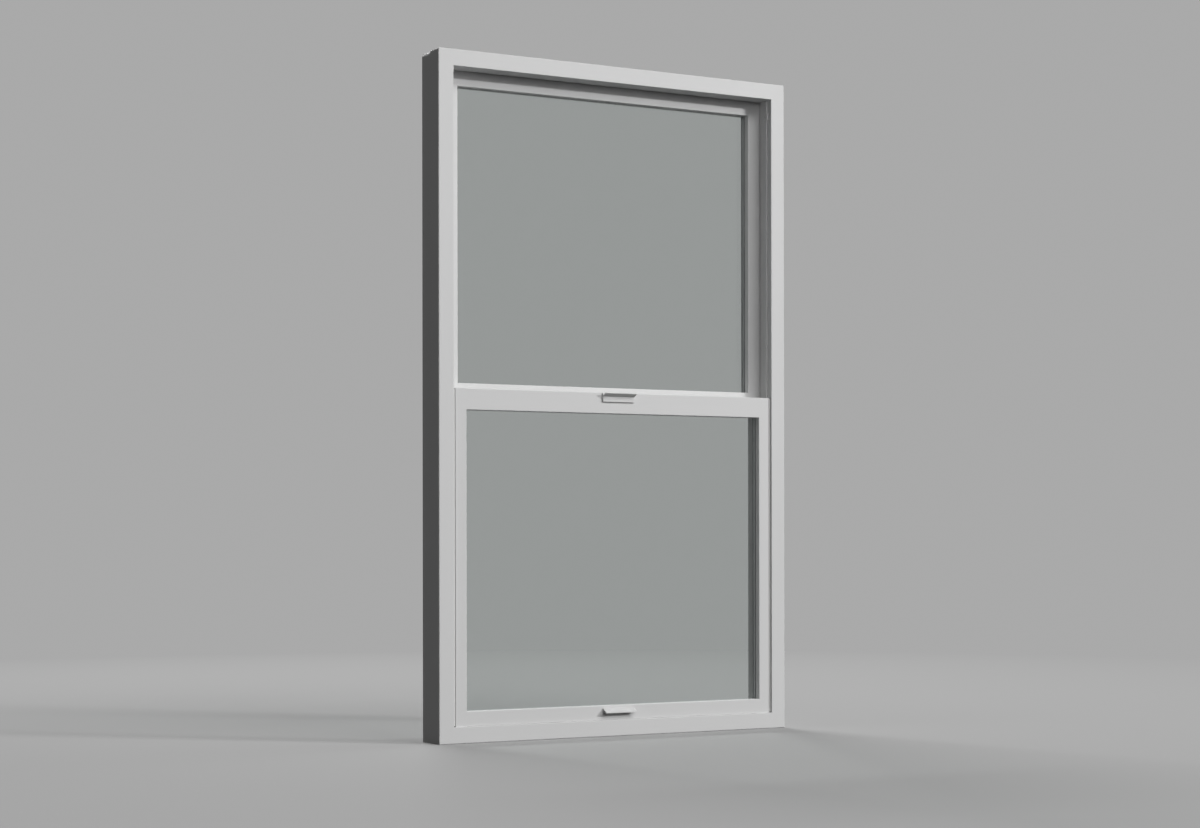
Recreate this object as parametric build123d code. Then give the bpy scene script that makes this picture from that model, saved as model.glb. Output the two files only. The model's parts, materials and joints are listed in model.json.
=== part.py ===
"""Single hung window, 36 x 60 in: mitred frame, fixed upper light and one sliding lower sash.

Millimetres. X runs to the right seen from the room, Y runs outdoors, Z is up.
The origin is at the middle of the sill's underside. A section is drawn as (inward, depth) points:
inward from the member's outer edge, and depth outdoors from the member's room face.
"""
import os
from math import cos, pi, sin

from build123d import *

INCH = 25.4

# Frame
WIDTH = 36 * INCH
HEIGHT = 60 * INCH
DEPTH = 3.25 * INCH
FACE = 37.0  # width of the frame's room face
WALL = 2.5  # wall of the hollow frame section
SIDE_WALL = 4.0  # outer wall of the outdoor half
WEB = 7.0  # web between the frame's two hollows, at mid depth
LIP_THICK = 2.55  # outside lip that the fixed light is set against
LIP_REACH = 12.0  # how far that lip stands in from the frame's inner side
SIDE_STEP = 0.8  # the outdoor half of the outer side is set in by this much
ROOM_ROUND = 5.0  # round on the room half's top corners
OUTDOOR_ROUND = 9.0  # round on the outdoor half's top corners
OUTER_EASE = 1.8  # radius of the face's outer edge
EASE = 1.0  # radius of the other eased long edges
OVERSHOOT = 1.0  # how far a cut runs past what it cuts

# Rib along each jamb that the sash guides straddle
RIB_WIDE = 5.0
RIB_TALL = 3.5
RIB_BACK = 14.5  # from the sash's face to the rib's middle

# Depth of the two lights
SASH_FRONT = 4.0  # sash face behind the frame's face
LIGHTS_APART = 12.0  # sash back to the fixed light's face

# Glazing section, shared by the sash and the fixed light
SECTION_WALL = 2.0
REBATE = 12.0  # glazing rebate behind the face's inner edge
GLASS_PLAY = 2.0  # glass edge to the rebate's floor
GASKET = 0.8
UNIT = 12.7  # insulated glass unit
PANE = 3.0
SPACER_WIDE = 8.0
BEAD = 3.9  # outside glazing bead
BEAD_SLOPE = 2.5

# Faces of the lights' members
RUNNING_GAP = 5.0  # sash to jamb
SASH_STILE = 28.0
SASH_BOTTOM_RAIL = 33.0
SASH_TOP_RAIL = 47.0
FIXED_STILE = 34.0
MEETING_RAIL = 48.0
MEETING_RISE = 33.0  # top of the fixed meeting rail above mid height
MEETING_SHOW = 14.0  # how much of it shows above the sash

# Interlock leg on the sash's top rail, and the sloped sill
INTERLOCK_GAP = 5.0
INTERLOCK_THICK = 3.0
INTERLOCK_DROP = 9.0
SLOPE_HIGH = 8.0
SLOPE_LOW = 1.5
WEEP_WIDE = 40.0
WEEP_INSET = 200.0  # middle of each weep slot from the frame's side
WEEP_STEP = 1.0  # the slot's floor above the sill

# Guides, stops and seals
GUIDE_LONG = 40.0
PRONG = 4.5
RIB_PLAY = 0.5
JAMB_PLAY = 0.4
PLUG = 6.0
STOP_DROP = 46.0  # underside of each travel stop below the head
STOP_LONG = 15.0
STOP_TALL = 4.5
PILE_FRONT = 0.2  # front pile row behind the sash's face
PILE_BACK = 3.0  # rear pile row ahead of the sash's back
PILE_WIDE = 4.0
PILE_PLAY = 0.3
PILE_SHORT = 2.0  # how far each pile stops short of its member's ends
SEAL_TALL = 6.0
SEAL_DROP = 2.0
BLADE_THICK = 2.5
BLADE_TALL = 10.0

# Pulls: a plate on the rail, and a hook that leans out from it
PULL_WIDE = 82.0
PULL_OUT = 16.0
PLATE_THICK = 4.0
PLATE_TAPER = 1.0  # how much thinner the plate is behind the hook
HOOK_EASE = 0.5
HOOK_RISE = 9.0
LIP_EDGE = 2.2
TOP_PLATE = 12.0
LIFT_PLATE = 2.0
LIFT_DROP = 6.0  # lift pull's plate below the bottom rail's top edge

LIP_AT = DEPTH - LIP_THICK
SILL_TOP = FACE
HEAD_BOTTOM = HEIGHT - FACE
SECTION_DEPTH = (LIP_AT - SASH_FRONT - LIGHTS_APART) / 2
SASH_BACK = SASH_FRONT + SECTION_DEPTH
FIXED_FRONT = LIP_AT - SECTION_DEPTH
GLASS_FRONT = SECTION_DEPTH - BEAD - 2 * GASKET - UNIT
GLASS_EDGE = REBATE - GLASS_PLAY
MEETING_TOP = HEIGHT / 2 + MEETING_RISE
MEETING_BOTTOM = MEETING_TOP - MEETING_RAIL
SASH_TOP = MEETING_TOP - MEETING_SHOW
SASH_WIDTH = WIDTH - 2 * (FACE + RUNNING_GAP)
SASH_HEIGHT = SASH_TOP - SILL_TOP
OPENING = WIDTH - 2 * FACE
RIB_AT = SASH_FRONT + RIB_BACK - RIB_WIDE / 2
INTERLOCK_BACK = FIXED_FRONT - INTERLOCK_GAP

parts = {}


def eased(points, radii):
    """The outline with the numbered corners rounded to their radii, by three points each."""
    out = []
    for i, point in enumerate(points):
        if i not in radii:
            out.append(point)
            continue
        radius = radii[i]
        here = Vector(*point)
        back = (Vector(*points[i - 1]) - here).normalized()
        ahead = (Vector(*points[(i + 1) % len(points)]) - here).normalized()
        centre = here + (back + ahead) * radius
        for turn in (0, pi / 4, pi / 2):
            spot = centre - ahead * (radius * cos(turn)) - back * (radius * sin(turn))
            out.append((spot.X, spot.Y))
    return out


def bar(outline, length, front):
    """A section run along X as a bottom member: inward is up, depth runs outdoors from front."""
    points = [(front + depth - DEPTH / 2, inward) for inward, depth in outline]
    face = make_face(Plane.YZ * Polyline(*points, close=True))
    return Pos(-length / 2, 0, 0) * extrude(face, length, dir=(1, 0, 0))


def mitred(solid, length, left=True, right=True):
    """Cuts a bar's ends back at 45 degrees."""
    half = length / 2
    tall = half / 2
    corners = [(-half, 0), (half, 0), (half - tall * right, tall), (-half + tall * left, tall)]
    face = make_face(Plane.XZ * Polyline(*corners, close=True))
    return solid & extrude(face, 2 * DEPTH, both=True)


def on_side(solid, side, width, height, bottom=0.0):
    """Turns a bar built as a bottom member onto one side of a rectangle."""
    if side == "bottom":
        return Pos(0, 0, bottom) * solid
    if side == "top":
        return Pos(0, 0, bottom + height) * Rot(0, 180, 0) * solid
    turn, x = (90, -width / 2) if side == "left" else (-90, width / 2)
    return Pos(x, 0, bottom + height / 2) * Rot(0, turn, 0) * solid


def block(x0, x1, t0, t1, z0, z1):
    """A box from its limits, with depth counted from the frame's room face."""
    middle = Pos((x0 + x1) / 2, (t0 + t1 - DEPTH) / 2, (z0 + z1) / 2)
    return middle * Box(x1 - x0, t1 - t0, z1 - z0)


def ring(half_width, z0, z1, wide, t0, t1):
    """A flat rectangular ring inside those limits."""
    inner = block(-half_width + wide, half_width - wide, t0, t1, z0 + wide, z1 - wide)
    return block(-half_width, half_width, t0, t1, z0, z1) - inner


def frame_outline(jamb):
    """Outline of the frame section; a jamb has the guide rib."""
    lip = FACE + LIP_REACH
    rib = []
    if jamb:
        top = FACE + RIB_TALL
        rib = [(FACE, RIB_AT), (top, RIB_AT), (top, RIB_AT + RIB_WIDE), (FACE, RIB_AT + RIB_WIDE)]
    points = [(0, 0), (FACE, 0), *rib, (FACE, LIP_AT), (lip, LIP_AT), (lip, DEPTH), (0, DEPTH)]
    last = len(points) - 1
    return eased(points, {0: OUTER_EASE, 1: EASE, last - 1: EASE, last: EASE})


def frame_hollows():
    """Outlines of the two hollows inside the frame section."""
    inner = FACE - WALL
    web_front = (DEPTH - WEB) / 2
    web_back = web_front + WEB
    room_side = [(WALL, WALL), (inner, WALL), (inner, web_front), (WALL, web_front)]
    start = SIDE_STEP + SIDE_WALL
    outdoors = [(start, web_back), (inner, web_back), (inner, LIP_AT), (start, LIP_AT)]
    return room_side, outdoors


def outer_waste(set_in, radius, t0, t1):
    """What is cut from the frame's outer sides and top between two depths, with rounded top corners."""
    half = WIDTH / 2 - set_in
    top = HEIGHT - set_in
    corners = [(-half, -OVERSHOOT), (half, -OVERSHOOT), (half, top), (-half, top)]
    face = make_face(Plane.XZ * Polyline(*corners, close=True))
    face = fillet(face.vertices().sort_by(Axis.Z)[-2:], radius)
    whole = block(-WIDTH, WIDTH, t0, t1, -OVERSHOOT, HEIGHT + OVERSHOOT)
    return whole - extrude(face, 2 * DEPTH, both=True)


def make_frame():
    room = outer_waste(0, ROOM_ROUND, -OVERSHOOT, DEPTH / 2)
    outdoors = outer_waste(SIDE_STEP, OUTDOOR_ROUND, DEPTH / 2, DEPTH + OVERSHOOT)
    for side, name in (("bottom", "sill"), ("top", "head"), ("left", "left_jamb"), ("right", "right_jamb")):
        jamb = side in ("left", "right")
        length = HEIGHT if jamb else WIDTH
        solid = bar(frame_outline(jamb), length, 0)
        for outline in frame_hollows():
            solid -= bar(outline, length, 0)
        parts[name] = on_side(mitred(solid, length), side, WIDTH, HEIGHT) - room - outdoors
    lip = SILL_TOP + LIP_REACH
    for x in (WEEP_INSET - WIDTH / 2, WIDTH / 2 - WEEP_INSET):
        x0 = x - WEEP_WIDE / 2
        parts["sill"] -= block(x0, x0 + WEEP_WIDE, LIP_AT, DEPTH, SILL_TOP + WEEP_STEP, lip)
    start = SASH_BACK + RUNNING_GAP
    slope = [(0, start), (SLOPE_HIGH, start), (SLOPE_LOW, LIP_AT), (0, LIP_AT)]
    parts["sloped_sill"] = Pos(0, 0, SILL_TOP) * bar(slope, OPENING, 0)


def section(face):
    """Outline of a glazing section with a face that wide."""
    floor = face - REBATE
    back = SECTION_DEPTH
    return [(0, 0), (face, 0), (face, GLASS_FRONT), (floor, GLASS_FRONT), (floor, back), (0, back)]


def hollow(face):
    """Outline of the hollow inside that section."""
    wall = SECTION_WALL
    inner = face - wall
    floor = inner - REBATE
    step = GLASS_FRONT - wall
    back = SECTION_DEPTH - wall
    return [(wall, wall), (inner, wall), (inner, step), (floor, step), (floor, back), (wall, back)]


def member(face, length, front, ends=0.0):
    """A hollow glazing section; ends is the length left solid at each end."""
    solid = bar(eased(section(face), {0: EASE, 1: EASE, 5: EASE}), length, front)
    return solid - bar(hollow(face), length - 2 * ends, front)


def cope(face, length, front):
    """What a rail's end loses to the stile that it meets, so that it closes on the stile's eased edge."""
    return bar(eased(section(face), {1: EASE}), length, front)


def glazing(prefix, half_width, z0, z1, front):
    """Panes, spacer and gaskets of one light; the limits are the glass edges."""
    inside = front + GLASS_FRONT + GASKET
    outside = inside + UNIT
    parts[f"{prefix}_inner_pane"] = block(-half_width, half_width, inside, inside + PANE, z0, z1)
    parts[f"{prefix}_outer_pane"] = block(-half_width, half_width, outside - PANE, outside, z0, z1)
    step = GLASS_EDGE - SPACER_WIDE
    limits = (half_width - step, z0 + step, z1 - step)
    parts[f"{prefix}_spacer"] = ring(*limits, SPACER_WIDE, inside + PANE, outside - PANE)
    room = ring(half_width, z0, z1, GLASS_EDGE, inside - GASKET, inside)
    outdoors = ring(half_width, z0, z1, GLASS_EDGE, outside, outside + GASKET)
    parts[f"{prefix}_gasket"] = Compound(children=[room.solid(), outdoors.solid()])


def beads(prefix, half_width, z0, z1, front):
    """Four outside glazing beads, mitred, in a rebate with those limits."""
    back = SECTION_DEPTH
    start = back - BEAD
    crest = REBATE - BEAD_SLOPE
    outline = [(0, start), (REBATE, start), (REBATE, back - BEAD_SLOPE), (crest, back), (0, back)]
    for side in ("top", "bottom", "left", "right"):
        length = z1 - z0 if side in ("left", "right") else 2 * half_width
        solid = mitred(bar(outline, length, front), length)
        parts[f"{prefix}_bead_{side}"] = on_side(solid, side, 2 * half_width, z1 - z0, z0)


def glaze(prefix, half_width, z0, z1, front):
    """Glass and beads for a light whose faces leave that opening."""
    glazing(prefix, half_width + GLASS_EDGE, z0 - GLASS_EDGE, z1 + GLASS_EDGE, front)
    beads(prefix, half_width + REBATE, z0 - REBATE, z1 + REBATE, front)


def make_fixed_light():
    height = HEAD_BOTTOM - MEETING_BOTTOM
    top_rail = mitred(member(FIXED_STILE, OPENING, FIXED_FRONT), OPENING)
    parts["fixed_top_rail"] = on_side(top_rail, "top", OPENING, height, MEETING_BOTTOM)
    rail = Pos(0, 0, MEETING_BOTTOM) * member(MEETING_RAIL, OPENING, FIXED_FRONT)
    for side in ("left", "right"):
        stile = member(FIXED_STILE, height, FIXED_FRONT, ends=WALL)
        stile = mitred(stile, height, left=side == "left", right=side == "right")
        parts[f"fixed_{side}_stile"] = on_side(stile, side, OPENING, height, MEETING_BOTTOM)
        rail -= on_side(cope(FIXED_STILE, height, FIXED_FRONT), side, OPENING, height, MEETING_BOTTOM)
    parts["fixed_meeting_rail"] = rail
    glaze("fixed", OPENING / 2 - FIXED_STILE, MEETING_TOP, HEAD_BOTTOM - FIXED_STILE, FIXED_FRONT)


def make_guides():
    """A nylon guide at each stile end: a plug in the hollow and two prongs astride the jamb's rib."""
    outer = -SASH_WIDTH / 2
    tip = -OPENING / 2 + JAMB_PLAY
    front = RIB_AT - RIB_PLAY - PRONG
    rear = RIB_AT + RIB_WIDE + RIB_PLAY
    for end, z0, plug_z in (("bottom", SILL_TOP, SILL_TOP), ("top", SASH_TOP - GUIDE_LONG, SASH_TOP - PLUG)):
        neck = block(outer, outer + SECTION_WALL + OVERSHOOT, front, rear + PRONG, plug_z, plug_z + PLUG)
        guide = neck + on_side(bar(hollow(SASH_STILE), PLUG, SASH_FRONT), "left", SASH_WIDTH, PLUG, plug_z)
        for t0 in (front, rear):
            guide += block(tip, outer, t0, t0 + PRONG, z0, z0 + GUIDE_LONG)
        parts[f"guide_{end}_left"] = guide
        parts[f"guide_{end}_right"] = mirror(guide, Plane.YZ)


def interlock():
    """Outline of the leg that closes the gap between the two meeting rails."""
    reach = INTERLOCK_BACK - SASH_FRONT
    hook = reach - INTERLOCK_THICK
    root = SECTION_DEPTH - SECTION_WALL
    thick, drop = INTERLOCK_THICK, INTERLOCK_DROP
    return [(0, root), (0, reach), (drop, reach), (drop, hook), (thick, hook), (thick, root)]


def make_sash():
    make_guides()
    place = (SASH_WIDTH, SASH_HEIGHT, SILL_TOP)
    top_rail = member(SASH_TOP_RAIL, SASH_WIDTH, SASH_FRONT) + bar(interlock(), SASH_WIDTH, SASH_FRONT)
    top_rail = on_side(top_rail, "top", *place)
    bottom_rail = on_side(member(SASH_BOTTOM_RAIL, SASH_WIDTH, SASH_FRONT), "bottom", *place)
    for side in ("left", "right"):
        stile = on_side(member(SASH_STILE, SASH_HEIGHT, SASH_FRONT), side, *place)
        end_cut = on_side(cope(SASH_STILE, SASH_HEIGHT, SASH_FRONT), side, *place)
        top_rail -= end_cut
        bottom_rail -= end_cut
        for end in ("top", "bottom"):
            stile -= parts[f"guide_{end}_{side}"]
        parts[f"sash_{side}_stile"] = stile
    parts["sash_top_rail"] = top_rail
    parts["sash_bottom_rail"] = bottom_rail
    half_width = SASH_WIDTH / 2 - SASH_STILE
    glaze("sash", half_width, SILL_TOP + SASH_BOTTOM_RAIL, SASH_TOP - SASH_TOP_RAIL, SASH_FRONT)


def make_stops():
    """A block astride each jamb's rib that the guides meet at the top of the travel."""
    z0 = HEAD_BOTTOM - STOP_DROP
    wall = -OPENING / 2
    stop = block(wall, wall + STOP_TALL, RIB_AT - PRONG, RIB_AT + RIB_WIDE + PRONG, z0, z0 + STOP_LONG)
    stop -= block(wall, wall + RIB_TALL, RIB_AT, RIB_AT + RIB_WIDE, z0, z0 + STOP_LONG)
    parts["left_stop"] = stop
    parts["right_stop"] = mirror(stop, Plane.YZ)


def make_seals():
    outer = -SASH_WIDTH / 2
    tip = -OPENING / 2 + PILE_PLAY
    rows = []
    for row in (PILE_FRONT, SECTION_DEPTH - PILE_BACK - PILE_WIDE):
        t0 = SASH_FRONT + row
        rows.append(block(tip, outer, t0, t0 + PILE_WIDE, SILL_TOP + PILE_SHORT, SASH_TOP - PILE_SHORT))
    parts["left_pile"] = Compound(children=[row.solid() for row in rows])
    parts["right_pile"] = Compound(children=[mirror(row, Plane.YZ).solid() for row in rows])
    half = OPENING / 2 - PILE_SHORT
    top = SASH_TOP - SEAL_DROP
    parts["meeting_seal"] = block(-half, half, INTERLOCK_BACK + PILE_PLAY, FIXED_FRONT, top - SEAL_TALL, top)
    half = SASH_WIDTH / 2 - PILE_SHORT
    foot = SILL_TOP + PILE_PLAY
    parts["bottom_seal"] = block(-half, half, SASH_BACK, SASH_BACK + BLADE_THICK, foot, foot + BLADE_TALL)


def hook_pull(plate, z0, up):
    """A plate on the rail from z0, and a hook leaning out beyond it: above it for up 1, below for -1."""
    top = plate + HOOK_RISE
    lip = PULL_OUT - LIP_EDGE
    throat = plate + LIP_EDGE
    outline = [
        (0, 0),
        (PLATE_THICK, 0),
        (PLATE_THICK, plate),
        (PULL_OUT, top - LIP_EDGE),
        (PULL_OUT, top),
        (lip, top),
        (PLATE_THICK, throat),
        (PLATE_THICK - PLATE_TAPER, top),
        (0, top),
    ]
    rail_face = SASH_FRONT - DEPTH / 2
    outline = eased(outline, {1: HOOK_EASE, 4: HOOK_EASE, 5: HOOK_EASE})
    points = [(rail_face - out, z0 + rise * up) for out, rise in outline]
    face = make_face(Plane.YZ * Polyline(*points, close=True))
    return Pos(-PULL_WIDE / 2, 0, 0) * extrude(face, PULL_WIDE, dir=(1, 0, 0))


def make_pulls():
    parts["meeting_rail_pull"] = hook_pull(TOP_PLATE, SASH_TOP - TOP_PLATE - HOOK_RISE, 1)
    parts["lift_pull"] = hook_pull(LIFT_PLATE, SILL_TOP + SASH_BOTTOM_RAIL - LIFT_DROP, -1)


make_frame()
make_fixed_light()
make_sash()
make_stops()
make_seals()
make_pulls()

os.makedirs("parts", exist_ok=True)
for node, solid in parts.items():
    export_step(solid, f"parts/{node}.step")
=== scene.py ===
"""Looks of a white single hung window: satin paint, insulated glass, pile seals and nylon guides.

Lengths are in metres, apart from the camera's sensor, in millimetres.
"""
import json
import math

import bpy
import bmesh
import numpy as np
from mathutils import Matrix, Vector


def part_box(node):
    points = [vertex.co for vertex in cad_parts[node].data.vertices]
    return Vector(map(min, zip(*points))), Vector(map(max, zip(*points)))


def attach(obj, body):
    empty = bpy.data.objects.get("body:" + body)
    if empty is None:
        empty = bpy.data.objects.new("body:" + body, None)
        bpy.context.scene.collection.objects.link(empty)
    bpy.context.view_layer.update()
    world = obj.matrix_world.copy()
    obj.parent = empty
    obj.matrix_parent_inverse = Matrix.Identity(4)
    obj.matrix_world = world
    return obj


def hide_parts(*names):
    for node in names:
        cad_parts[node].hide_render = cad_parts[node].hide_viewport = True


# Camera, in the photograph's 1200 x 828 frame
PHOTO_WIDTH = 1200
FOCAL_PIXELS = 2419.8
HORIZON_BELOW_CENTRE = 119.5
SENSOR = 36.0
VIEW_REACH = 200.0
CAMERA_AT = (-2.8214, -4.7771, 0.4611)
CAMERA_TURN = math.radians(30.334)
CAMERA_ROLL = math.radians(0.075)

# Small rounds on the drawn edges
EDGE_ROUND = 0.00018
EDGE_STEPS = 2
EDGE_ANGLE = math.radians(40)
WELD = 0.00001

# Baked paint: how fine each noise is, per metre, and the depth of the orange peel
TONE_DRIFT = 3.5
GLOSS_DRIFT = 14.0
PEEL = 650.0
FINE_PEEL = 2600.0
PEEL_DEPTH = 0.00003

# Float glass: what a face lets through and what it mirrors
GLASS_TINT = (0.930, 0.941, 0.937, 1.0)
GLASS_MIRROR = (0.92, 0.94, 0.935, 1.0)
GLASS_ROUGH = 0.02
GLASS_INDEX = 1.5

# Pile weatherstrip: backing and fin, then tufts, whose stray is a share of their pitch
PILE_WIDE = 0.004
PILE_BACKING = 0.0007
PILE_FIN = 0.0003
TUFT_PITCH = 0.00055
TUFT_ROWS = 6
TUFT_HALF = 0.00017
TUFT_LEAN = 0.00035
TUFT_STRAY = 0.3
TUFT_SHORTEST = 0.90
PILE_SEEDS = {"left": 11, "right": 12, "meeting": 13}

# Blade seal under the sash's back edge: where its lip starts and bends are shares of the seal's height
BLADE_BASE = 0.0010
BLADE_HALF = 0.00035
BLADE_START = 0.45
BLADE_BEND = 0.15
BLADE_STEPS = 8

# Screws in the travel stops
SCREW_RADIUS = 0.0022
SCREW_DOME = 0.0011
SCREW_RIM = 0.000275
SCREW_STEPS = 6
SCREW_SIDES = 32
SCREW_WELD = 0.000001
RECESS_WIDE = 0.0008
RECESS_LONG = 0.0026
RECESS_DEEP = 0.0007

# Perforations of the glass spacers
HOLE_PITCH = 0.0030
HOLE_RADIUS = 0.00035
HOLE_ROW = 0.0012

# Stage: the floor takes on the backdrop's tone between two distances from the window
BACKDROP = 0.40
AMBIENT = 0.03
FLOOR_TONE = 0.36
FLOOR_BOUNCE = 0.05
FLOOR_LIFT = 0.08
FLOOR_SIZE = 60.0
FADE_FROM = 1.4
FADE_OVER = 2.6

# Lamps: place, what each is aimed at, size and power
MIDDLE = (0.0, 0.0, 0.8)
BEHIND = (1.5, 10.0, 6.5)
LAMPS = {
    "key": ((14.0, -14.6, 7.2), (14.0, 0.0, 0.8), (4.0, 0.7), 2700),
    "soft": ((5.4, -14.2, 13.0), MIDDLE, (15.0, 6.0), 1900),
    "fill": ((-2.6, -9.6, 3.4), MIDDLE, (4.0, 2.4), 120),
    "rear": (BEHIND, MIDDLE, (6.0, 2.0), 870),
    "rim": (BEHIND, MIDDLE, (6.0, 2.0), 280),
}
# Lamps that leave no glint: the rim lamp alone gives the far edges theirs
MATT_LAMPS = ("rear",)

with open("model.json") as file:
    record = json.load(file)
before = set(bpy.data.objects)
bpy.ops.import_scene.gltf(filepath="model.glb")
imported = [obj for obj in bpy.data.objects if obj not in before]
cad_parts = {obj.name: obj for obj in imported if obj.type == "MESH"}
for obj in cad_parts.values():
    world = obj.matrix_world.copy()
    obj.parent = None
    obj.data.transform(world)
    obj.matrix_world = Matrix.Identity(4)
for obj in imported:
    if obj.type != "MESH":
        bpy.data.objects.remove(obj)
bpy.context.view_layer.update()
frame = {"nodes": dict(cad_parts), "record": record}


class Channel:
    """A shader socket that takes part in plain arithmetic."""

    def __init__(self, finish, socket):
        self.finish = finish
        self.socket = socket

    def maths(self, operation, *terms, clamp=False):
        settings = {"operation": operation, "use_clamp": clamp}
        return self.finish.add("ShaderNodeMath", settings, dict(enumerate(terms)))

    def __add__(self, other):
        return self.maths("ADD", self, other)

    def __radd__(self, other):
        return self.maths("ADD", other, self)

    def __sub__(self, other):
        return self.maths("SUBTRACT", self, other)

    def __rsub__(self, other):
        return self.maths("SUBTRACT", other, self)

    def __mul__(self, other):
        return self.maths("MULTIPLY", self, other)

    def __rmul__(self, other):
        return self.maths("MULTIPLY", other, self)

    def __abs__(self):
        return self.maths("ABSOLUTE", self)

    def clipped(self):
        """The value held between 0 and 1."""
        return self.maths("ADD", self, 0.0, clamp=True)

    def from_middle(self, pitch):
        """Distance to the middle of the pitch that the value falls in."""
        return abs(self.maths("FLOORED_MODULO", self, pitch) - pitch / 2)

    def across(self, other):
        """Length of the hypotenuse on two values."""
        return self.maths("SQRT", self * self + other * other)

    def under(self, limit):
        """1 where the value is below the limit, else 0."""
        return self.maths("LESS_THAN", self, limit)


class Finish:
    """A material or world under construction, with one way to add any node."""

    def __init__(self, owner):
        self.owner = owner
        owner.use_nodes = True
        self.tree = owner.node_tree
        self.tree.nodes.clear()

    def add(self, kind, settings=None, sockets=None, output=0):
        node = self.tree.nodes.new(kind)
        for key, value in (settings or {}).items():
            setattr(node, key, value)
        for key, value in (sockets or {}).items():
            if isinstance(value, Channel):
                self.tree.links.new(value.socket, node.inputs[key])
            else:
                node.inputs[key].default_value = value
        return Channel(self, node.outputs[output]) if node.outputs else None

    def place(self):
        """Where a point lies on the object, in metres."""
        return self.add("ShaderNodeTexCoord", output="Object")

    def part_of(self, vector, axis):
        """One of a vector's three values: 0, 1 or 2."""
        return self.add("ShaderNodeSeparateXYZ", None, {0: vector}, axis)

    def noise(self, scale, detail=2.0, roughness=0.5):
        sockets = {"Vector": self.place(), "Scale": scale, "Detail": detail, "Roughness": roughness}
        return self.add("ShaderNodeTexNoise", None, sockets)

    def tint(self, factor, low, high):
        """A colour between two colours."""
        return self.add("ShaderNodeMix", {"data_type": "RGBA"}, {0: factor, 6: low, 7: high}, 2)

    def bump(self, height, distance, strength=1.0):
        sockets = {"Height": height, "Distance": distance, "Strength": strength}
        return self.add("ShaderNodeBump", None, sockets)

    def seen(self):
        """1 for what the camera sees, straight, mirrored or through glass."""
        kinds = ("Is Camera Ray", "Is Glossy Ray", "Is Transmission Ray")
        camera, mirrored, through = (self.add("ShaderNodeLightPath", output=kind) for kind in kinds)
        return (camera + mirrored + through).clipped()

    def surface(self, **sockets):
        """Closes the material with a Principled shader; an underscore in a name stands for a space."""
        named = {key.replace("_", " "): value for key, value in sockets.items()}
        return self.close(self.add("ShaderNodeBsdfPrincipled", None, named))

    def close(self, shader):
        kind = "World" if isinstance(self.owner, bpy.types.World) else "Material"
        self.add("ShaderNodeOutput" + kind, None, {"Surface": shader})
        return self.owner


def new_finish(name):
    return Finish(bpy.data.materials.new(name))


def grey(level):
    return (level, level, level, 1.0)


def satin_paint(name, level, dullness):
    """Baked paint on aluminium: a fine orange peel, with slow drifts of tone and gloss."""
    paint = new_finish(name)
    drift = paint.noise(TONE_DRIFT, detail=3.0)
    peel = paint.noise(PEEL, detail=2.0, roughness=0.45)
    fine = paint.noise(FINE_PEEL, detail=1.0)
    colour = paint.tint(drift, grey(level * 0.975), grey(level * 1.02))
    rough = dullness + 0.10 * (paint.noise(GLOSS_DRIFT, detail=4.0) - 0.5) + 0.05 * (fine - 0.5)
    normal = paint.bump(peel + 0.35 * fine, PEEL_DEPTH, strength=0.6)
    return paint.surface(Base_Color=colour, Roughness=rough, Normal=normal)


def float_glass():
    """Clear panes: mostly see-through with a faint green cast, mirror-like at a low angle.

    The near face of a pane mirrors for both its faces, so that no light is caught inside it.
    """
    glass = new_finish("float_glass")
    clear = glass.add("ShaderNodeBsdfTransparent", None, {"Color": GLASS_TINT})
    mirror = glass.add("ShaderNodeBsdfGlossy", None, {"Color": GLASS_MIRROR, "Roughness": GLASS_ROUGH})
    near = 1 - glass.add("ShaderNodeNewGeometry", output="Backfacing")
    share = (2 * near * glass.add("ShaderNodeFresnel", None, {"IOR": GLASS_INDEX})).clipped()
    return glass.close(glass.add("ShaderNodeMixShader", None, {0: share, 1: clear, 2: mirror}))


def spacer_metal(depth_middle):
    """Drawn aluminium with two rows of fine perforations along the inner face, painted near-black as the
    shade in each hole.
    """
    tenths_mm = round(depth_middle * 1e4)
    metal = new_finish(f"spacer_metal_{tenths_mm}")
    spot = metal.place()
    facing = metal.add("ShaderNodeNewGeometry", output="True Normal")
    upright = abs(metal.part_of(facing, 0))
    level = abs(metal.part_of(facing, 2))
    along = metal.part_of(spot, 0) * level + metal.part_of(spot, 2) * upright
    off_row = abs(abs(metal.part_of(spot, 1) - depth_middle) - HOLE_ROW)
    hole_and_its_shade = along.from_middle(HOLE_PITCH).across(off_row).under(HOLE_RADIUS)
    grain = metal.noise(scale=300.0, detail=3.0)
    drawn = metal.tint(grain, (0.50, 0.50, 0.51, 1.0), (0.60, 0.60, 0.61, 1.0))
    return metal.surface(
        # Painted shade: each perforation is coloured near-black for the shade inside the hole
        Base_Color=metal.tint(hole_and_its_shade, drawn, grey(0.03)),
        Roughness=0.38 + 0.12 * (grain - 0.5) + 0.3 * hole_and_its_shade,
        Metallic=0.15,
        Normal=metal.bump(grain * 0.1 - hole_and_its_shade, 0.0002),
    )


def grained(name, colour, rough, scale, depth):
    """A moulded, drawn or spun finish with a light grain."""
    finish = new_finish(name)
    grain = finish.noise(scale, detail=3.0)
    dark = tuple(0.88 * c for c in colour[:3]) + (1.0,)
    return finish.surface(
        Base_Color=finish.tint(grain, dark, colour),
        Roughness=rough + 0.12 * (grain - 0.5),
        Normal=finish.bump(grain, depth),
    )


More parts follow.
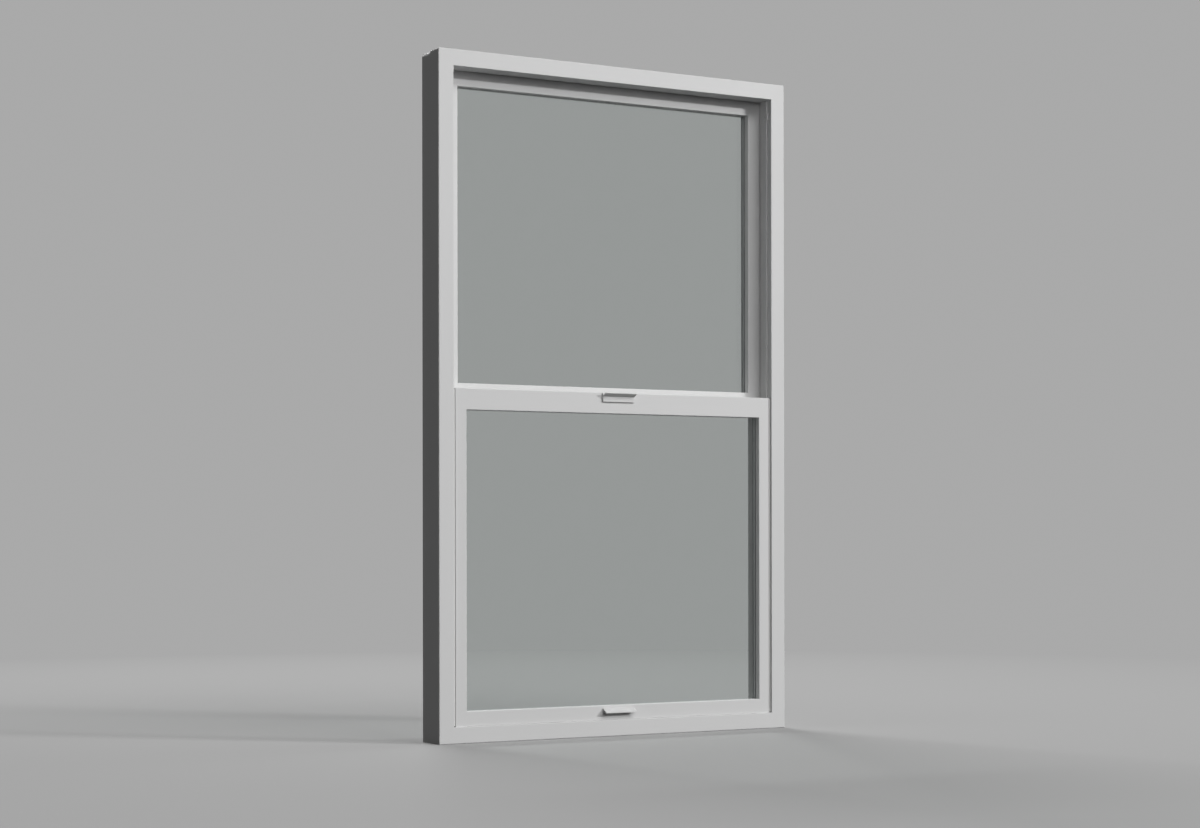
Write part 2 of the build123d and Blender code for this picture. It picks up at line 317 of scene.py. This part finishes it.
FINISHES = {
    "frame_paint": satin_paint("frame_paint", level=0.66, dullness=0.51),
    "sash_paint": satin_paint("sash_paint", level=0.66, dullness=0.51),
    "pull_paint": satin_paint("pull_paint", level=0.65, dullness=0.34),
    "glass": float_glass(),
    "gasket": grained("gasket_rubber", grey(0.26), rough=0.6, scale=900.0, depth=0.00002),
    "pile": grained("pile_fibre", (0.70, 0.70, 0.69, 1.0), rough=0.9, scale=1800.0, depth=0.0001),
    "nylon": grained("guide_nylon", (0.60, 0.60, 0.58, 1.0), rough=0.45, scale=500.0, depth=0.00002),
}
BLADE_RUBBER = grained("blade_rubber", (0.030, 0.030, 0.031, 1.0), rough=0.55, scale=700.0, depth=0.00003)
SCREW_METAL = grained("screw_metal", (0.55, 0.55, 0.54, 1.0), rough=0.3, scale=400.0, depth=0.00001)


def dress_nodes():
    """Gives each node its finish and a small round on its edges."""
    for part in frame["record"]["subparts"]:
        name, slot = part["node"], part["material_slot"]
        node = frame["nodes"][name]
        if slot == "spacer":
            low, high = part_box(name)
            finish = spacer_metal((low[1] + high[1]) / 2)
        else:
            finish = FINISHES[slot]
        node.data.materials.clear()
        node.data.materials.append(finish)
        if slot != "glass":
            round_edges(node)


def round_edges(piece):
    weld = piece.modifiers.new("weld", "WELD")
    weld.merge_threshold = WELD
    bevel = piece.modifiers.new("edge", "BEVEL")
    bevel.width = EDGE_ROUND
    bevel.segments = EDGE_STEPS
    bevel.limit_method = "ANGLE"
    bevel.angle_limit = EDGE_ANGLE


def new_piece(name, mesh, body, finish):
    """Links a finished mesh as a piece that moves with a body."""
    mesh.materials.append(finish)
    piece = bpy.data.objects.new(name, mesh)
    bpy.context.scene.collection.objects.link(piece)
    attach(piece, body)
    return piece


def mesh_from(name, points, faces):
    mesh = bpy.data.meshes.new(name)
    mesh.from_pydata(points, [], faces)
    mesh.update()
    return mesh


def slab(low, high):
    """Corners and faces of a box, to be joined with others."""
    points = [(x, y, z) for x in (low[0], high[0]) for y in (low[1], high[1]) for z in (low[2], high[2])]
    faces = [(0, 1, 3, 2), (4, 6, 7, 5), (0, 4, 5, 1), (2, 3, 7, 6), (0, 2, 6, 4), (1, 5, 7, 3)]
    return points, faces


def tufts(rng, length, width, reach):
    """Spikes with three sides on a strip: along, across and standing up from it."""
    count = int(length / TUFT_PITCH)
    along = (np.arange(count) + 0.5) * length / count
    across = (np.arange(TUFT_ROWS) + 0.5) * width / TUFT_ROWS
    root = np.stack(np.meshgrid(along, across, indexing="ij"), axis=-1).reshape(-1, 2)
    root += rng.uniform(-TUFT_STRAY, TUFT_STRAY, root.shape) * (length / count, width / TUFT_ROWS)
    lean = rng.normal(0, TUFT_LEAN, root.shape)
    tip = np.clip(root + lean, (0, 0), (length, width))
    tall = reach * rng.uniform(TUFT_SHORTEST, 1.0, len(root))
    turn = rng.uniform(0, 2 * math.pi, len(root))
    points = np.zeros((len(root), 4, 3))
    for corner in range(3):
        angle = turn + corner * 2 * math.pi / 3
        foot = root + TUFT_HALF * np.stack([np.cos(angle), np.sin(angle)], axis=-1)
        points[:, corner, :2] = np.clip(foot, (0, 0), (length, width))
    points[:, 3, :2] = tip
    points[:, 3, 2] = tall
    first = 4 * np.arange(len(root))[:, None]
    faces = np.concatenate([first + corners for corners in ((0, 1, 3), (1, 2, 3), (2, 0, 3), (2, 1, 0))])
    return points.reshape(-1, 3), faces


def pile_row(rng, low, high, up, along, fin_at):
    """A pile strip in a box: a backing on one side, and tufts with a thin fin towards the other.

    up is the axis that the tufts stand along, with its sign, along is the axis of the strip's length,
    and fin_at is where the fin stands across the strip, from 0 to 1.
    """
    axis, sign = up
    side = 3 - axis - along
    low, high = np.array(low), np.array(high)
    foot = low[axis] if sign > 0 else high[axis]
    deep = high[axis] - low[axis]
    backing = (low.copy(), high.copy())
    backing[1 if sign > 0 else 0][axis] = foot + sign * PILE_BACKING
    fin = (low.copy(), high.copy())
    fin[0][side] = low[side] + fin_at * (high[side] - low[side] - PILE_FIN)
    fin[1][side] = fin[0][side] + PILE_FIN
    spikes, sides = tufts(rng, high[along] - low[along], high[side] - low[side], deep - PILE_BACKING)
    placed = np.zeros_like(spikes)
    placed[:, along] = low[along] + spikes[:, 0]
    placed[:, side] = low[side] + spikes[:, 1]
    placed[:, axis] = foot + sign * (PILE_BACKING + spikes[:, 2])
    return joined([slab(*backing), slab(*fin), (placed.tolist(), sides.tolist())])


def joined(shapes):
    """Points and faces of several shapes as one."""
    points, faces = [], []
    for shape_points, shape_faces in shapes:
        faces += [tuple(len(points) + i for i in face) for face in shape_faces]
        points += [tuple(point) for point in shape_points]
    return points, faces


def add_sash_piles():
    """Two rows of pile on each stile, in the running gap."""
    for side, toward in (("left", -1), ("right", 1)):
        rng = np.random.default_rng(PILE_SEEDS[side])
        node = side + "_pile"
        low, high = (np.array(corner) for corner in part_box(node))
        front = (low, np.array([high[0], low[1] + PILE_WIDE, high[2]]))
        rear = (np.array([low[0], high[1] - PILE_WIDE, low[2]]), high)
        rows = [pile_row(rng, *box, (0, toward), 2, fin_at) for box, fin_at in ((front, 0), (rear, 1))]
        mesh = mesh_from(node + "_fibres", *joined(rows))
        piece = new_piece(node + "_fibres", mesh, "sash", FINISHES["pile"])
        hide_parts(node)


def add_meeting_seal():
    """Pile between the two meeting rails, standing out from the fixed one."""
    rng = np.random.default_rng(PILE_SEEDS["meeting"])
    low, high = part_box("meeting_seal")
    mesh = mesh_from("meeting_seal_fibres", *pile_row(rng, low, high, (1, -1), 0, 1))
    piece = new_piece("meeting_seal_fibres", mesh, "frame", FINISHES["pile"])
    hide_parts("meeting_seal")


def blade_outline(low, high):
    """Section of the rubber blade: a flat base on the rail and a lip that curls down to the sill."""
    tall = high[2] - low[2]
    root = low[2] + BLADE_START * tall
    start = Vector((low[1] + BLADE_BASE / 2, root))
    bend = Vector((low[1] + BLADE_BASE, low[2] + BLADE_BEND * tall))
    end = Vector((high[1] - BLADE_HALF, low[2] + BLADE_HALF))
    outer, inner = [], []
    for step in range(BLADE_STEPS + 1):
        t = step / BLADE_STEPS
        spot = start * (1 - t) ** 2 + bend * (2 * t * (1 - t)) + end * t ** 2
        slope = (bend - start) * (1 - t) + (end - bend) * t
        across = Vector((-slope.y, slope.x)).normalized() * BLADE_HALF
        outer.append(spot + across)
        inner.append(spot - across)
    base = [(low[1], root), (low[1], high[2]), (low[1] + BLADE_BASE, high[2])]
    return base + [tuple(p) for p in outer] + [tuple(p) for p in reversed(inner)]


def add_bottom_blade():
    low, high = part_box("bottom_seal")
    outline = blade_outline(low, high)
    count = len(outline)
    points = [(x, y, z) for x in (low[0], high[0]) for y, z in outline]
    faces = [(i, (i + 1) % count, count + (i + 1) % count, count + i) for i in range(count)]
    faces += [tuple(reversed(range(count))), tuple(range(count, 2 * count))]
    mesh = mesh_from("bottom_blade", points, faces)
    tidy = bmesh.new()
    tidy.from_mesh(mesh)
    bmesh.ops.recalc_face_normals(tidy, faces=tidy.faces)
    tidy.to_mesh(mesh)
    tidy.free()
    piece = new_piece("bottom_blade", mesh, "sash", BLADE_RUBBER)
    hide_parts("bottom_seal")


def screw_profile():
    """Half the outline of a low domed head, from its crown round to the middle of its foot."""
    crown = SCREW_DOME - SCREW_RIM
    points = [(0, 0, SCREW_DOME)]
    for step in range(1, SCREW_STEPS + 1):
        angle = step / SCREW_STEPS * math.pi / 2
        points.append((SCREW_RADIUS * math.sin(angle), 0, SCREW_RIM + crown * math.cos(angle)))
    return points + [(SCREW_RADIUS, 0, 0), (0, 0, 0)]


def screw_blank(name):
    """The domed head before its recess is cut."""
    head = bmesh.new()
    rim = [head.verts.new(point) for point in screw_profile()]
    edges = [head.edges.new(pair) for pair in zip(rim, rim[1:])]
    turn = {"axis": (0, 0, 1), "cent": (0, 0, 0), "steps": SCREW_SIDES, "angle": 2 * math.pi}
    bmesh.ops.spin(head, geom=rim + edges, **turn)
    bmesh.ops.remove_doubles(head, verts=head.verts, dist=SCREW_WELD)
    bmesh.ops.recalc_face_normals(head, faces=head.faces)
    mesh = bpy.data.meshes.new(name)
    head.to_mesh(mesh)
    head.free()
    return mesh


def screw_mesh(name):
    """A low domed screw head with a cross recess, standing along +Z."""
    holder = bpy.data.objects.new(name, screw_blank(name))
    bpy.context.scene.collection.objects.link(holder)
    cutters = []
    for long, wide in ((RECESS_LONG, RECESS_WIDE), (RECESS_WIDE, RECESS_LONG)):
        low = (-long / 2, -wide / 2, SCREW_DOME - RECESS_DEEP)
        high = (long / 2, wide / 2, 2 * SCREW_DOME)
        cutter = bpy.data.objects.new(name + "_cutter", mesh_from(name + "_cutter", *slab(low, high)))
        bpy.context.scene.collection.objects.link(cutter)
        cut = holder.modifiers.new("recess", "BOOLEAN")
        cut.object = cutter
        cut.operation = "DIFFERENCE"
        cutters.append(cutter)
    bpy.context.view_layer.update()
    mesh = bpy.data.meshes.new_from_object(holder.evaluated_get(bpy.context.evaluated_depsgraph_get()))
    for spare in cutters + [holder]:
        bpy.data.objects.remove(spare)
    return mesh


def add_stop_screws():
    """One screw through each travel stop into the jamb."""
    for side, facing in (("left", 1), ("right", -1)):
        low, high = (Vector(corner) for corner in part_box(side + "_stop"))
        spot = (low + high) / 2
        spot.x = high.x if facing > 0 else low.x
        mesh = screw_mesh(side + "_stop_screw")
        mesh.transform(Matrix.Translation(spot) @ Matrix.Rotation(facing * math.pi / 2, 4, "Y"))
        new_piece(side + "_stop_screw", mesh, "frame", SCREW_METAL)


def set_camera():
    camera = bpy.data.cameras.new("camera")
    camera.sensor_width = SENSOR
    camera.lens = FOCAL_PIXELS / PHOTO_WIDTH * SENSOR
    camera.shift_y = HORIZON_BELOW_CENTRE / PHOTO_WIDTH
    camera.clip_end = VIEW_REACH
    holder = bpy.data.objects.new("camera", camera)
    holder.location = CAMERA_AT
    holder.rotation_euler = (math.pi / 2, CAMERA_ROLL, -CAMERA_TURN)
    bpy.context.scene.collection.objects.link(holder)
    bpy.context.scene.camera = holder


def add_lamp(name, place, target, size, power):
    lamp = bpy.data.lights.new(name, "AREA")
    lamp.shape = "RECTANGLE"
    lamp.size, lamp.size_y = size
    lamp.energy = power
    holder = bpy.data.objects.new(name, lamp)
    holder.location = place
    holder.rotation_euler = (Vector(target) - Vector(place)).to_track_quat("-Z", "Y").to_euler()
    holder.visible_camera = False
    holder.visible_glossy = name not in MATT_LAMPS
    bpy.context.scene.collection.objects.link(holder)


def backdrop_level(seen):
    """The backdrop's brightness where it is seen, and a faint level where it only lights."""
    return seen * BACKDROP + (1 - seen) * AMBIENT


def floor_finish():
    """A pale floor that takes the object's shadow and runs into the backdrop's tone further out."""
    floor = new_finish("floor")
    spot = floor.place()
    reach = floor.part_of(spot, 0).across(floor.part_of(spot, 1))
    away = ((reach - FADE_FROM) * (1 / FADE_OVER)).clipped()
    seen = floor.seen()
    tone = floor.tint(seen, grey(FLOOR_BOUNCE), grey(FLOOR_TONE))
    lit = floor.add("ShaderNodeBsdfDiffuse", None, {"Color": tone})
    lift = floor.add("ShaderNodeEmission", None, {"Color": grey(FLOOR_LIFT), "Strength": seen})
    near = floor.add("ShaderNodeAddShader", None, {0: lit, 1: lift})
    far = floor.add("ShaderNodeEmission", None, {"Color": grey(1.0), "Strength": backdrop_level(seen)})
    return floor.close(floor.add("ShaderNodeMixShader", None, {0: away, 1: near, 2: far}))


def add_floor():
    half = FLOOR_SIZE / 2
    corners = [(-half, -half, 0), (half, -half, 0), (half, half, 0), (-half, half, 0)]
    mesh = mesh_from("floor", corners, [(0, 1, 2, 3)])
    mesh.materials.append(floor_finish())
    floor = bpy.data.objects.new("floor", mesh)
    bpy.context.scene.collection.objects.link(floor)


def set_backdrop():
    studio = Finish(bpy.data.worlds.new("studio"))
    sockets = {"Color": grey(1.0), "Strength": backdrop_level(studio.seen())}
    bpy.context.scene.world = studio.close(studio.add("ShaderNodeBackground", None, sockets))


dress_nodes()
add_sash_piles()
add_meeting_seal()
add_bottom_blade()
add_stop_screws()
set_camera()
add_floor()
set_backdrop()
for lamp_name, lamp_values in LAMPS.items():
    add_lamp(lamp_name, *lamp_values)
bpy.context.scene.view_settings.view_transform = "Standard"
